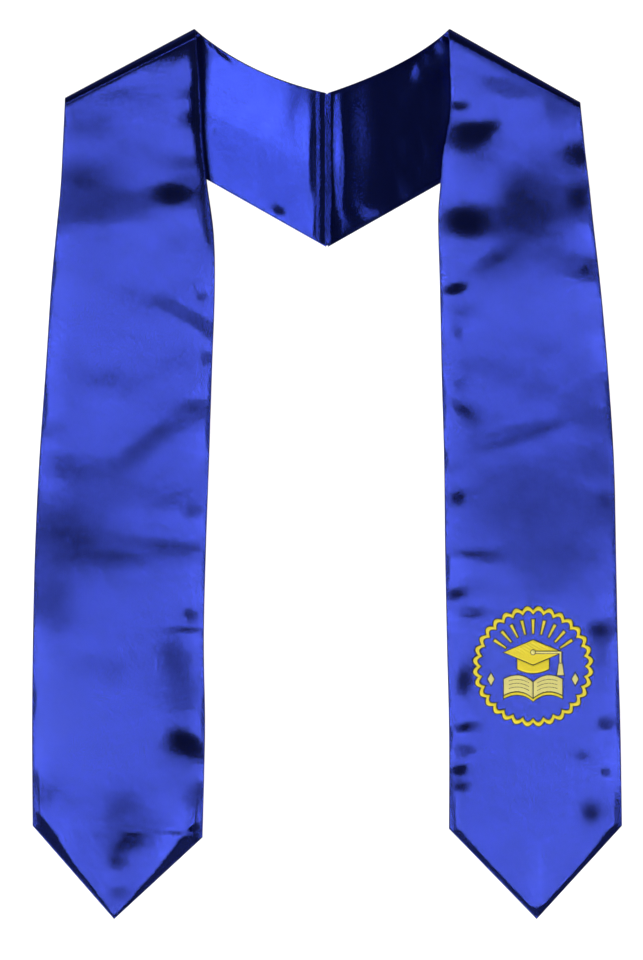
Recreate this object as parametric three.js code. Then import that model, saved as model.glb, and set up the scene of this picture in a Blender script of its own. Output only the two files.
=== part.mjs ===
// A satin graduation stole, folded at both shoulders and lying face up on a floor.
// Millimetres, +Z up. X = 0 is the centre-back seam and +Y points to the neck.
// Each half is one long strip: from the seam it runs under the shoulder, rolls over
// the shoulder fold, and comes back on top as the front panel with its pointed end.
import * as THREE from "three";

// Layout of a half, as it lies
const seamLength = 132;
const neckRise = 54; // neck point above the top of the seam
const bodyLength = 682; // neck point down to the corners of the end
const pointLength = 80; // corners of the end down to the tip
const endWidth = 147;
const reach = 252.8; // seam to the outermost edge
const bendLength = 150; // stretch over which the rows take the shape of the point

// Cloth
const layer = 1; // one satin layer with its interfacing
const layerGap = 0.3;
const edgeTurn = 1; // face cloth turned round the edge
const clearance = 0.3;
const stack = 2 * layer + layerGap;
const wallStep = 0.02; // run of an upright wall between two rows of points

// Air and folds
const panelPuff = 1.8; // how far the face stands off the lining
const neckPuff = 1.6;
const puffEdge = 20; // from a pressed edge to full height
const rollHeightNeck = 10.5; // fold at the neck point, middle of cloth to middle of cloth
const rollHeightCorner = 7; // fold at the shoulder corner
const rollDepthNeck = 8;
const rollDepthCorner = 4.5;
const rollFade = 120; // how far the roll stays high down the panel
const laySlope = 80; // run in which the panel comes down past the neck band
const layMargin = 8; // level cloth past the band's edge
const layLift = stack + neckPuff + 2 * clearance; // panel held up by the neck band

// Centre-back seam
const ridgeWidth = 10;
const ridgeThickness = 1.2;
const webThickness = 1;
const ridgeShift = -3; // the ridge lies over to the left half
const seamFlat = 14; // puff starts this far from the seam

// Mesh density
const neckRows = 7;
const rollRows = 6;
const panelRows = 29;
const rowCrowding = 1.2; // over 1 brings the panel's rows together towards the shoulder
const acrossSpans = 8;

// Each half, with the one outline of its front panel. down: share of the panel's
// length below the shoulder corner; outer: share of reach; width: share of endWidth.
const leftHalf = {
  name: "left",
  side: -1,
  neckOut: 112.7,
  shoulderOut: 224.5,
  shoulderDrop: 59.6,
  neckSag: 7.7, // how far the neck edge hangs below a straight line
  sagAt: 0.47, // share of the neck edge, from the neck point, where it hangs most
  endTilt: 10, // inner corner below outer corner
  tipShift: 3, // tip from the middle of the end, towards the outer edge
  edges: [
    { down: 0.0, outer: 0.888, width: 0.793 },
    { down: 0.06, outer: 0.895, width: 0.814 },
    { down: 0.12, outer: 0.903, width: 0.857 },
    { down: 0.186, outer: 0.919, width: 0.921 },
    { down: 0.262, outer: 0.936, width: 0.956 },
    { down: 0.372, outer: 0.954, width: 0.971 },
    { down: 0.5, outer: 0.976, width: 0.991 },
    { down: 0.62, outer: 0.99, width: 0.997 },
    { down: 0.744, outer: 0.997, width: 0.997 },
    { down: 0.868, outer: 1.0, width: 1.009 },
    { down: 1.0, outer: 0.998, width: 0.991 },
  ],
};
const rightHalf = {
  name: "right",
  side: 1,
  neckOut: 104,
  shoulderOut: 217,
  shoulderDrop: 63.4,
  neckSag: 6,
  sagAt: 0.37,
  endTilt: 2.6,
  tipShift: 1,
  edges: [
    { down: 0.0, outer: 0.858, width: 0.755 },
    { down: 0.037, outer: 0.868, width: 0.787 },
    { down: 0.069, outer: 0.876, width: 0.832 },
    { down: 0.116, outer: 0.89, width: 0.872 },
    { down: 0.162, outer: 0.902, width: 0.904 },
    { down: 0.259, outer: 0.929, width: 0.939 },
    { down: 0.37, outer: 0.953, width: 0.971 },
    { down: 0.495, outer: 0.973, width: 0.991 },
    { down: 0.62, outer: 0.98, width: 0.997 },
    { down: 0.744, outer: 0.986, width: 0.997 },
    { down: 0.868, outer: 0.995, width: 1.0 },
    { down: 1.0, outer: 1.0, width: 1.009 },
  ],
};

// Soft dents and puffs of the front panels. down, across: place as shares of the
// panel's length and width, across counted from the inner edge; long, wide: reach as
// shares of endWidth; turn: degrees from across to down; rise: share of panelPuff.
const panelDents = [
  { half: "left", down: 0.035, across: 0.75, long: 0.35, wide: 0.12, turn: 8, rise: -0.5 },
  { half: "left", down: 0.14, across: 0.12, long: 0.22, wide: 0.1, turn: 5, rise: -0.9 },
  { half: "left", down: 0.12, across: 0.85, long: 0.2, wide: 0.12, turn: 0, rise: -0.45 },
  { half: "left", down: 0.3, across: 0.3, long: 0.4, wide: 0.3, turn: -15, rise: 0.5 },
  { half: "left", down: 0.34, across: 0.13, long: 0.16, wide: 0.08, turn: -30, rise: -0.7 },
  { half: "left", down: 0.5, across: 0.12, long: 0.25, wide: 0.12, turn: 20, rise: -0.8 },
  { half: "left", down: 0.56, across: 0.7, long: 0.5, wide: 0.15, turn: 10, rise: -0.45 },
  { half: "left", down: 0.65, across: 0.35, long: 0.5, wide: 0.14, turn: 4, rise: -0.5 },
  { half: "left", down: 0.885, across: 0.09, long: 0.14, wide: 0.09, turn: -12, rise: -1.0 },
  { half: "left", down: 1.02, across: 0.42, long: 0.25, wide: 0.13, turn: 25, rise: -0.7 },
  { half: "right", down: 0.045, across: 0.3, long: 0.3, wide: 0.12, turn: -30, rise: -0.4 },
  { half: "right", down: 0.16, across: 0.2, long: 0.3, wide: 0.14, turn: 5, rise: -0.9 },
  { half: "right", down: 0.25, across: 0.14, long: 0.2, wide: 0.1, turn: -10, rise: -0.9 },
  { half: "right", down: 0.21, across: 0.92, long: 0.2, wide: 0.11, turn: 10, rise: -0.7 },
  { half: "right", down: 0.39, across: 0.12, long: 0.18, wide: 0.08, turn: -12, rise: -0.8 },
  { half: "right", down: 0.5, across: 0.12, long: 0.15, wide: 0.08, turn: 20, rise: -0.7 },
  { half: "right", down: 0.58, across: 0.35, long: 0.55, wide: 0.14, turn: -18, rise: -0.6 },
  { half: "right", down: 0.9, across: 0.08, long: 0.16, wide: 0.08, turn: -8, rise: -0.9 },
  { half: "right", down: 0.95, across: 0.8, long: 0.16, wide: 0.1, turn: 30, rise: -0.5 },
];

// Folds of the neck band's lining. along: 0 at the shoulder fold, 1 at the seam;
// across: 0 at the neck edge; long, wide: shares of seamLength; rise: share of neckPuff.
const neckDents = [
  { half: "left", along: 0.2, across: 0.1, long: 0.16, wide: 0.05, turn: 70, rise: -0.8 },
  { half: "left", along: 0.82, across: 0.5, long: 0.5, wide: 0.08, turn: 80, rise: -0.6 },
  { half: "right", along: 0.25, across: 0.12, long: 0.2, wide: 0.07, turn: 75, rise: 0.5 },
  { half: "right", along: 0.45, across: 0.5, long: 0.5, wide: 0.1, turn: 85, rise: -0.7 },
  { half: "right", along: 0.8, across: 0.55, long: 0.55, wide: 0.1, turn: 88, rise: 0.4 },
];

// Embroidered badge: a cap over an open book in a scalloped ring
const badgeDiameter = 103;
const badgeDown = 0.779;
const badgeAcross = 0.5;
const badgeMargin = 12; // cloth kept level round the embroidery
const threadRelief = 0.8;
const threadLift = 0.35; // over the cloth, which is made of flat faces
const borderWidth = 3.4;
const scallopCount = 32;
const scallopDepth = 3.6;
const boardWidth = 50;
const boardHeight = 21;
const boardRise = 12; // middle of the board above the middle of the badge
const crownWidth = 27;
const crownHeight = 8.5;
const crownSag = 3.5;
const motifGap = 1;
const buttonRadius = 1.9;
const cordWidth = 1.5;
const cordDrop = 9;
const tasselLength = 10;
const tasselWidth = 5.5;
const bookWidth = 50;
const bookHeight = 13.5;
const bookDrop = 27; // spine's foot below the middle of the badge
const pageRise = 5;
const coverThickness = 2;
const rayCount = 9;
const rayInner = 0.545; // shares of the badge's radius
const rayOuter = 0.78;
const rayWidth = 2.4;
const raySpread = 112; // degrees from the first ray to the last
const lozengeLength = 10;
const lozengeWidth = 5.5;
const lozengeOut = 0.7;
const lozengeDrop = 11;

const satin = new THREE.MeshStandardMaterial({ color: 0x2f3fc4, roughness: 0.38, metalness: 0.4 });
const lining = new THREE.MeshStandardMaterial({ color: 0x2f48d8, roughness: 0.38, metalness: 0.4 });
const goldThread = new THREE.MeshStandardMaterial({ color: 0xe9d94a, roughness: 0.5 });
const paleThread = new THREE.MeshStandardMaterial({ color: 0xf0ea9c, roughness: 0.5 });

const { lerp, degToRad, smoothstep } = THREE.MathUtils;
const tipY = neckRise - bodyLength - pointLength;
const middleY = (neckRise + tipY) / 2;
const rowEnd = 2;

// The point of a curve that lies a given distance from the line through two points
function pointOffLine(curve, from, to, distance) {
  const line = to.clone().sub(from).normalize();
  let low = 0;
  let high = 0.5;
  for (let i = 0; i < 30; i++) {
    const share = (low + high) / 2;
    const gap = Math.abs(line.cross(curve.getPointAt(share).sub(from)));
    if (gap < distance) low = share;
    else high = share;
  }
  return { share: low, point: curve.getPointAt(low) };
}

// Plan curves of a half: out from the seam and up, both from the fold to the far end
function planOf(half) {
  const neckPoint = new THREE.Vector2(half.neckOut, neckRise - middleY);
  const corner = new THREE.Vector2(half.shoulderOut, neckPoint.y - half.shoulderDrop);
  const start = webThickness / 2 + clearance;
  const seamTop = new THREE.Vector2(start, -middleY);
  const seamFoot = new THREE.Vector2(start, -middleY - seamLength);
  const chord = seamTop.clone().sub(neckPoint);
  const below = new THREE.Vector2(-chord.y, chord.x).normalize();
  const sagPoint = neckPoint.clone().addScaledVector(chord, half.sagAt).addScaledVector(below, 2 * half.neckSag);
  const panelLength = bodyLength - half.shoulderDrop;
  const outer = half.edges.map(
    (row) => new THREE.Vector2(row.outer * reach, corner.y - row.down * panelLength),
  );
  const inner = half.edges.map((row, i) => {
    const tilt = i === half.edges.length - 1 ? half.endTilt : 0;
    return new THREE.Vector2(
      row.outer * reach - row.width * endWidth,
      corner.y - row.down * panelLength - tilt,
    );
  });
  outer[0].copy(corner);
  return {
    neckPoint,
    corner,
    panelLength,
    neckEdge: new THREE.QuadraticBezierCurve(neckPoint, sagPoint, seamTop),
    backEdge: new THREE.LineCurve(corner, seamFoot),
    innerEdge: new THREE.SplineCurve([neckPoint, ...inner]),
    outerEdge: new THREE.SplineCurve(outer),
  };
}

// The rise of a table's dents at a place given by two lengths
function dentsAt(dents, size, alongOf, acrossOf) {
  let sum = 0;
  for (const dent of dents) {
    const turn = degToRad(dent.turn);
    const x = acrossOf(dent);
    const y = alongOf(dent);
    const a = (x * Math.cos(turn) + y * Math.sin(turn)) / (dent.long * size);
    const b = (y * Math.cos(turn) - x * Math.sin(turn)) / (dent.wide * size);
    sum += dent.rise * Math.exp(-a * a - b * b);
  }
  return sum;
}

// One half as a surface: where(row, across) gives its middle, its normal towards the
// face cloth, and how far the face and the lining stand off. row runs from -2 at the
// seam through -1 to 1 over the fold's roll to 2 at the pointed end.
function stripOf(half) {
  const plan = planOf(half);
  const ends = { inner: {}, outer: {} };
  const sides = [
    { name: "inner", back: plan.neckEdge, front: plan.innerEdge, depth: rollDepthNeck },
    { name: "outer", back: plan.backEdge, front: plan.outerEdge, depth: rollDepthCorner },
  ];
  const offFold = (curve, gap) => pointOffLine(curve, plan.neckPoint, plan.corner, gap);
  for (const side of sides) {
    ends[side.name].back = offFold(side.back, side.depth).share;
    ends[side.name].front = offFold(side.front, side.depth).share;
  }

  function edgePoint(side, row) {
    const curve = row < 0 ? side.back : side.front;
    const gap = Math.abs(row);
    if (gap <= 1) return offFold(curve, side.depth * (1 - Math.cos((gap * Math.PI) / 2))).point;
    const start = ends[side.name][row < 0 ? "back" : "front"];
    return curve.getPointAt(Math.min(1, lerp(start, 1, gap - 1)));
  }

  function planPoint(row, across) {
    const inner = edgePoint(sides[0], row);
    const outer = edgePoint(sides[1], row);
    const point = inner.clone().lerp(outer, across);
    const left = (rowEnd - row) * plan.panelLength;
    const bend = row > 1 ? 1 - smoothstep(left, 0, bendLength) : 0;
    const share = bend * (1 - Math.abs(2 * across - 1));
    point.y -= share * (pointLength - half.endTilt / 2);
    point.x += share * half.tipShift;
    return { point, width: inner.distanceTo(outer), left };
  }

  const backLine = plan.backEdge.v2.clone().sub(plan.corner).normalize();
  const foldLine = plan.corner.clone().sub(plan.neckPoint).normalize();

  function middle(row, across) {
    const { point, width, left } = planPoint(row, across);
    const floor = stack / 2;
    const rollHeight = lerp(rollHeightNeck, rollHeightCorner, across);
    const turn = Math.abs(row) < 1 ? Math.sin((Math.abs(row) * Math.PI) / 2) : 1;
    let z = floor + (rollHeight / 2) * (1 - turn);
    if (row > 0) {
      const fromCorner = point.clone().sub(plan.corner);
      const past = -backLine.cross(fromCorner);
      const fromFold = Math.abs(foldLine.cross(point.clone().sub(plan.neckPoint)));
      const rest = layLift * smoothstep(past, -laySlope - layMargin, -layMargin);
      const roll = 1 - smoothstep(fromFold, rollDepthNeck, rollFade);
      const lift = rest + (rollHeight - rest) * roll;
      const foldMiddle = floor + rollHeight / 2;
      z = foldMiddle + (floor + lift - foldMiddle) * turn;
    }
    return { spot: new THREE.Vector3(half.side * point.x, point.y, z), point, width, left };
  }

  function puffAt(row, across, place) {
    const side = Math.min(across, 1 - across) * place.width;
    if (row > 1) {
      const end = place.left * Math.SQRT1_2;
      const cover = smoothstep(side, 0, puffEdge) * smoothstep(end, 0, puffEdge);
      const fromRoll = smoothstep((row - 1) * plan.panelLength, 0, rollFade);
      const down = (plan.corner.y - place.point.y) / plan.panelLength;
      const dents = dentsAt(
        panelDents.filter((dent) => dent.half === half.name),
        endWidth,
        (dent) => (dent.down - down) * plan.panelLength,
        (dent) => (across - dent.across) * endWidth,
      );
      return Math.max(0, panelPuff * cover * fromRoll * (1 + dents * awayFromBadge(place.point)));
    }
    if (row < -1) {
      const along = -1 - row;
      const band = plan.backEdge.getLength();
      const cover = smoothstep(side, 0, puffEdge) * smoothstep(along * band, 0, puffEdge);
      const fromSeam = smoothstep((1 - along) * band, seamFlat, seamFlat + puffEdge);
      const dents = dentsAt(
        neckDents.filter((dent) => dent.half === half.name),
        seamLength,
        (dent) => (along - dent.along) * band,
        (dent) => (across - dent.across) * seamLength,
      );
      return Math.max(0, neckPuff * cover * fromSeam * (1 + dents));
    }
    return 0;
  }

  function awayFromBadge(point) {
    if (half !== rightHalf) return 1;
    const radius = badgeDiameter / 2;
    return smoothstep(point.distanceTo(badgePlace(plan)), radius, radius + badgeMargin);
  }

  function where(row, across) {
    const step = 1e-3;
    const place = middle(row, across);
    const onward = middle(Math.min(rowEnd, row + step), across).spot;
    const back = middle(Math.max(-rowEnd, row - step), across).spot;
    const inward = middle(row, Math.max(0, across - step)).spot;
    const outward = middle(row, Math.min(1, across + step)).spot;
    const normal = onward.sub(back).cross(outward.sub(inward)).normalize();
    normal.multiplyScalar(half.side);
    const puff = puffAt(row, across, place);
    return { ...place, normal, puff, front: row > 0 };
  }
  return { where, plan, half };
}

// Middle of the badge, out from the seam and up
function badgePlace(plan) {
  const y = plan.corner.y - badgeDown * plan.panelLength;
  const at = (curve) => {
    let low = 0;
    let high = 1;
    for (let i = 0; i < 30; i++) {
      const share = (low + high) / 2;
      if (curve.getPointAt(share).y > y) low = share;
      else high = share;
    }
    return curve.getPointAt(low).x;
  };
  return new THREE.Vector2(lerp(at(plan.innerEdge), at(plan.outerEdge), badgeAcross), y);
}

// Rows along the strip, closest together over the roll, with level cloth at the seam
function rowsTo(strip, last) {
  const flatRow = -rowEnd + seamFlat / strip.plan.backEdge.getLength();
  const rows = [-rowEnd];
  for (let i = 0; i < neckRows; i++) rows.push(lerp(flatRow, -1, i / neckRows));
  for (let i = 0; i < rollRows; i++) rows.push(lerp(-1, 1, i / rollRows));
  for (let i = 0; i <= panelRows; i++) rows.push(lerp(1, last, (i / panelRows) ** rowCrowding));
  return rows;
}

const spread = (spans, low, high) =>
  Array.from({ length: spans + 1 }, (_, i) => lerp(low, high, i / spans));

// The face cloth: a layer over the whole strip that turns down round its edge
function faceCloth(strip) {
  const length = strip.plan.panelLength;
  const turnRow = rowEnd - (edgeTurn * Math.SQRT2) / length;
  const rows = [...rowsTo(strip, turnRow - wallStep / length), turnRow, rowEnd];
  const grid = rows.map((row) => {
    const width = strip.where(row, 0.5).width;
    const turn = edgeTurn / width;
    const wall = turn + wallStep / width;
    const columns = [0, turn, ...spread(acrossSpans, wall, 1 - wall), 1 - turn, 1];
    return columns.map((across, i) => {
      const spot = strip.where(row, across);
      const edge = i < 2 || i > columns.length - 3 || row >= turnRow;
      const outside = stack / 2 + (spot.front ? spot.puff : 0);
      return { ...spot, outside, inside: edge ? -stack / 2 : outside - layer };
    });
  });
  return solidBetween(`${strip.half.name}_face`, grid, satin);
}

// The lining: a layer inside the turned edge of the face cloth
function liningCloth(strip) {
  const inset = edgeTurn + clearance;
  const length = strip.plan.panelLength;
  const rows = rowsTo(strip, rowEnd - (inset * Math.SQRT2) / length);
  const grid = rows.map((row) => {
    const share = inset / strip.where(row, 0.5).width;
    return spread(acrossSpans, share, 1 - share).map((across) => {
      const spot = strip.where(row, across);
      const outside = -stack / 2 - (spot.front ? 0 : spot.puff);
      return { ...spot, outside, inside: outside + layer };
    });
  });
  return solidBetween(`${strip.half.name}_lining`, grid, lining);
}

// A closed solid from a grid of spots, each with two offsets along its normal
function solidBetween(name, grid, material) {
  const points = [];
  const rowCount = grid.length;
  const columnCount = grid[0].length;
  for (const side of ["outside", "inside"])
    for (const row of grid)
      for (const { spot, normal, [side]: offset } of row)
        points.push(...spot.clone().addScaledVector(normal, offset).toArray());
  const index = (side, row, column) => side * rowCount * columnCount + row * columnCount + column;
  const faces = [];
  const quad = (a, b, c, d) => faces.push(a, b, c, a, c, d);
  for (let r = 0; r + 1 < rowCount; r++)
    for (let c = 0; c + 1 < columnCount; c++) {
      quad(index(0, r, c), index(0, r, c + 1), index(0, r + 1, c + 1), index(0, r + 1, c));
      quad(index(1, r, c), index(1, r + 1, c), index(1, r + 1, c + 1), index(1, r, c + 1));
    }
  for (let r = 0; r + 1 < rowCount; r++) {
    quad(index(0, r, 0), index(0, r + 1, 0), index(1, r + 1, 0), index(1, r, 0));
    const c = columnCount - 1;
    quad(index(0, r + 1, c), index(0, r, c), index(1, r, c), index(1, r + 1, c));
  }
  for (let c = 0; c + 1 < columnCount; c++) {
    quad(index(0, 0, c + 1), index(0, 0, c), index(1, 0, c), index(1, 0, c + 1));
    const r = rowCount - 1;
    quad(index(0, r, c), index(0, r, c + 1), index(1, r, c + 1), index(1, r, c));
  }
  const geometry = new THREE.BufferGeometry();
  geometry.setAttribute("position", new THREE.Float32BufferAttribute(points, 3));
  geometry.setIndex(volumeOf(points, faces) < 0 ? faces.reverse() : faces);
  geometry.computeVertexNormals();
  return named(name, geometry, material);
}

function volumeOf(points, faces) {
  const corner = (i) => new THREE.Vector3().fromArray(points, 3 * faces[i]);
  let sum = 0;
  for (let i = 0; i < faces.length; i += 3) sum += corner(i).cross(corner(i + 1)).dot(corner(i + 2));
  return sum / 6;
}

function named(name, geometry, material) {
  const mesh = new THREE.Mesh(geometry, material);
  mesh.name = name;
  return mesh;
}

// The seam at the back of the neck: a web between the halves under a pressed ridge
function centreSeam() {
  const under = stack + clearance;
  const left = ridgeShift - ridgeWidth / 2;
  const right = ridgeShift + ridgeWidth / 2;
  const section = new THREE.Shape([
    new THREE.Vector2(-webThickness / 2, 0),
    new THREE.Vector2(webThickness / 2, 0),
    new THREE.Vector2(webThickness / 2, under),
    new THREE.Vector2(right, under),
    new THREE.Vector2(right - ridgeThickness / 2, under + ridgeThickness),
    new THREE.Vector2(left + ridgeThickness / 2, under + ridgeThickness),
    new THREE.Vector2(left, under),
    new THREE.Vector2(-webThickness / 2, under),
  ]);
  const geometry = new THREE.ExtrudeGeometry(section, { depth: seamLength, bevelEnabled: false });
  geometry.rotateX(Math.PI / 2).translate(0, -middleY, 0);
  return named("centre_seam", geometry, lining);
}

// Embroidery is a set of flat raised shapes, drawn round the middle of the badge
function threads(name, shape, material, level = 0) {
  const options = { depth: threadRelief, bevelEnabled: false, curveSegments: 8 };
  const geometry = new THREE.ExtrudeGeometry(shape, options);
  geometry.translate(0, 0, level * (threadRelief + threadLift));
  return named(name, geometry, material);
}

const outline = (...points) => new THREE.Shape(points.map(([x, y]) => new THREE.Vector2(x, y)));

function badgeBorder() {
  const stepsPerScallop = 4;
  const count = scallopCount * stepsPerScallop;
  const ring = (inset) =>
    Array.from({ length: count }, (_, i) => {
      const bulge = Math.sin((Math.PI * (i % stepsPerScallop)) / stepsPerScallop);
      const radius = badgeDiameter / 2 - inset - scallopDepth * (1 - bulge);
      const angle = (2 * Math.PI * i) / count;
      return new THREE.Vector2(radius * Math.cos(angle), radius * Math.sin(angle));
    });
  const shape = new THREE.Shape(ring(0));
  shape.holes.push(new THREE.Path(ring(borderWidth)));
  return threads("badge_border", shape, goldThread);
}

function cap() {
  const half = boardWidth / 2;
  const board = outline(
    [-half, boardRise],
    [0, boardRise - boardHeight / 2],
    [half, boardRise],
    [0, boardRise + boardHeight / 2],
  );
  const side = crownWidth / 2;
  const top = boardRise - boardHeight / 2 - motifGap;
  const sideTop = top + (boardHeight / 2) * (side / half);
  const crown = outline([side, sideTop], [0, top], [-side, sideTop], [-side, sideTop - crownHeight]);
  const foot = sideTop - crownHeight;
  crown.quadraticCurveTo(0, foot - 2 * crownSag, side, foot);
  const button = new THREE.Shape().absarc(0, boardRise, buttonRadius, 0, 2 * Math.PI);
  const cordX = half - cordWidth;
  const start = buttonRadius + motifGap / 2;
  const cord = outline(
    [start, boardRise - cordWidth / 2],
    [cordX - cordWidth, boardRise - cordWidth / 2],
    [cordX - cordWidth / 2, boardRise - cordWidth],
    [cordX - cordWidth / 2, boardRise - cordDrop],
    [cordX + cordWidth / 2, boardRise - cordDrop],
    [cordX + cordWidth / 2, boardRise - cordWidth / 2],
    [cordX - cordWidth / 2, boardRise + cordWidth / 2],
    [start, boardRise + cordWidth / 2],
  );
  const neck = boardRise - cordDrop - motifGap / 2;
  const tassel = outline(
    [cordX - tasselWidth / 4, neck],
    [cordX - tasselWidth / 2, neck - tasselLength],
    [cordX + tasselWidth / 2, neck - tasselLength],
    [cordX + tasselWidth / 4, neck],
  );
  return [
    threads("cap_board", board, goldThread),
    threads("cap_crown", crown, goldThread),
    threads("cap_button", button, paleThread, 1),
    threads("tassel_cord", cord, paleThread, 1),
    threads("tassel", tassel, paleThread),
  ];
}

function book() {
  const half = bookWidth / 2;
  const gap = motifGap / 2;
  const page = (name, side) => {
    const shape = outline([side * gap, -bookDrop]);
    const crest = 2 * pageRise;
    shape.quadraticCurveTo(side * half * 0.45, crest - bookDrop, side * half, pageRise / 2 - bookDrop);
    shape.lineTo(side * half, pageRise / 2 + bookHeight - bookDrop);
    shape.quadraticCurveTo(
      side * half * 0.45,
      crest + bookHeight - bookDrop,
      side * gap,
      bookHeight - bookDrop,
    );
    return threads(name, shape, paleThread);
  };
  const under = -bookDrop - motifGap;
  const cover = outline([0, under]);
  cover.quadraticCurveTo(half * 0.45, under + 2 * pageRise, half, under + pageRise / 2);
  cover.lineTo(half, under + pageRise / 2 - coverThickness);
  cover.quadraticCurveTo(half * 0.45, under + 2 * pageRise - coverThickness, 0, under - coverThickness);
  cover.quadraticCurveTo(
    -half * 0.45,
    under + 2 * pageRise - coverThickness,
    -half,
    under + pageRise / 2 - coverThickness,
  );
  cover.lineTo(-half, under + pageRise / 2);
  cover.quadraticCurveTo(-half * 0.45, under + 2 * pageRise, 0, under);
  return [page("book_left", -1), page("book_right", 1), threads("book_cover", cover, goldThread)];
}

function rays() {
  const radius = badgeDiameter / 2;
  return Array.from({ length: rayCount }, (_, i) => {
    const angle = degToRad(lerp(90 + raySpread / 2, 90 - raySpread / 2, i / (rayCount - 1)));
    const ray = threads(
      `ray_${i + 1}`,
      outline(
        [rayInner * radius, -rayWidth / 4],
        [rayOuter * radius, -rayWidth / 2],
        [rayOuter * radius, rayWidth / 2],
        [rayInner * radius, rayWidth / 4],
      ),
      goldThread,
    );
    ray.geometry.rotateZ(angle);
    return ray;
  });
}

function lozenges() {
  const lozenge = (name, side) => {
    const x = (side * lozengeOut * badgeDiameter) / 2;
    return threads(
      name,
      outline(
        [x - lozengeWidth / 2, -lozengeDrop],
        [x, -lozengeDrop - lozengeLength / 2],
        [x + lozengeWidth / 2, -lozengeDrop],
        [x, -lozengeDrop + lozengeLength / 2],
      ),
      paleThread,
    );
  };
  return [lozenge("lozenge_left", -1), lozenge("lozenge_right", 1)];
}

function badge(strip) {
  const middle = badgePlace(strip.plan);
  const pieces = [badgeBorder(), ...cap(), ...book(), ...rays(), ...lozenges()];
  const z = stack + panelPuff + threadLift;
  for (const piece of pieces) piece.geometry.translate(strip.half.side * middle.x, middle.y, z);
  return pieces;
}

const strips = [leftHalf, rightHalf].map(stripOf);
const stole = new THREE.Group();
stole.name = "graduation_stole";
for (const strip of strips) stole.add(faceCloth(strip), liningCloth(strip));
stole.add(centreSeam(), ...badge(strips[1]));

export default stole;
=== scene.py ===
"""A royal blue satin graduation stole that lies face up on a pale floor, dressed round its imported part."""

import math

import bpy
import numpy as np
from mathutils import Matrix, Vector


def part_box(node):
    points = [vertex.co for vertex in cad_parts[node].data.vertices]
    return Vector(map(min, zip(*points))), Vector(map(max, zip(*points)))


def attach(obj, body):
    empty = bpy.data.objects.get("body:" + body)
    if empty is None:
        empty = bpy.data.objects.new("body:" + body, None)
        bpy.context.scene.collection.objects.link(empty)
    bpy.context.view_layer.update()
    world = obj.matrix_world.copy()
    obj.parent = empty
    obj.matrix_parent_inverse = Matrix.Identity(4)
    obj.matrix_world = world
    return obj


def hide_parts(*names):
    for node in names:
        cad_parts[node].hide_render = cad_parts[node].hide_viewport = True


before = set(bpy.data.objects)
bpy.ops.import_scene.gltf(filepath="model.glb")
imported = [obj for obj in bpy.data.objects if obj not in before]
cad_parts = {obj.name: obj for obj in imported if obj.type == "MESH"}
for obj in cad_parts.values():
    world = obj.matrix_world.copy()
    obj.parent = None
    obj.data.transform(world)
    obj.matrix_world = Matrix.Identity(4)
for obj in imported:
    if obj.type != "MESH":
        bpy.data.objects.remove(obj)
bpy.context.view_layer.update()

bl_info = {
    "name": "Graduation stole",
    "version": (1, 0, 0),
    "blender": (4, 5, 0),
    "location": "3D View > Sidebar > Stole",
    "description": "Dresses the packed stole in satin and thread and lights it",
    "category": "Object",
}

MM = 0.001
BODY = "root"

# The photograph's scale, size and middle, for places read off it
PX = 0.857 * MM
PICTURE = (643, 960)
SEAM_PX = 327.0
MIDDLE_PX = 474.5

# Layout of a half, the same as in the part's source
SEAM_LENGTH = 132 * MM
NECK_RISE = 54 * MM
BODY_LENGTH = 682 * MM
POINT_LENGTH = 80 * MM
POINT_SLANT = math.sqrt(2)  # length down a half for each length square to the seams of its point
END_WIDTH = 147 * MM
REACH = 252.8 * MM
BEND_LENGTH = 150 * MM
LAYER = 1 * MM
LAYER_GAP = 0.3 * MM
CLEARANCE = 0.3 * MM
STACK = 2 * LAYER + LAYER_GAP
NECK_PUFF = 1.6 * MM
NECK_DIP = 1.2 * MM  # how far the lining can sink towards the face cloth under it
ROLL_HEIGHT = (10.5 * MM, 7 * MM)  # at the neck point and at the shoulder corner
ROLL_DEPTH = (8 * MM, 4.5 * MM)
ROLL_FADE = 120 * MM
ROLL_CREST = 0.87  # the row from which the threads can be pulled
LAY_SLOPE = 80 * MM
LAY_MARGIN = 8 * MM
LAY_LIFT = STACK + NECK_PUFF + 2 * CLEARANCE
WEB = 1 * MM
MIDDLE_Y = (2 * NECK_RISE - BODY_LENGTH - POINT_LENGTH) / 2
# Lengths in millimetres. Each row of edges has a share of the way down the panel, the outer
# edge's distance as a share of REACH and the width as a share of END_WIDTH.
HALVES = {
    "left": {
        "side": -1, "neck_out": 112.7, "shoulder_out": 224.5, "shoulder_drop": 59.6, "end_tilt": 10,
        "tip_shift": 3, "neck_sag": 7.7, "sag_at": 0.47,
        "edges": (
            (0, 0.888, 0.793), (0.06, 0.895, 0.814), (0.12, 0.903, 0.857), (0.186, 0.919, 0.921),
            (0.262, 0.936, 0.956), (0.372, 0.954, 0.971), (0.5, 0.976, 0.991), (0.62, 0.99, 0.997),
            (0.744, 0.997, 0.997), (0.868, 1, 1.009), (1, 0.998, 0.991),
        ),
    },
    "right": {
        "side": 1, "neck_out": 104, "shoulder_out": 217, "shoulder_drop": 63.4, "end_tilt": 2.6,
        "tip_shift": 1, "neck_sag": 6, "sag_at": 0.37,
        "edges": (
            (0, 0.858, 0.755), (0.037, 0.868, 0.787), (0.069, 0.876, 0.832), (0.116, 0.89, 0.872),
            (0.162, 0.902, 0.904), (0.259, 0.929, 0.939), (0.37, 0.953, 0.971), (0.495, 0.973, 0.991),
            (0.62, 0.98, 0.997), (0.744, 0.986, 0.997), (0.868, 0.995, 1), (1, 1, 1.009),
        ),
    },
}

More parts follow.
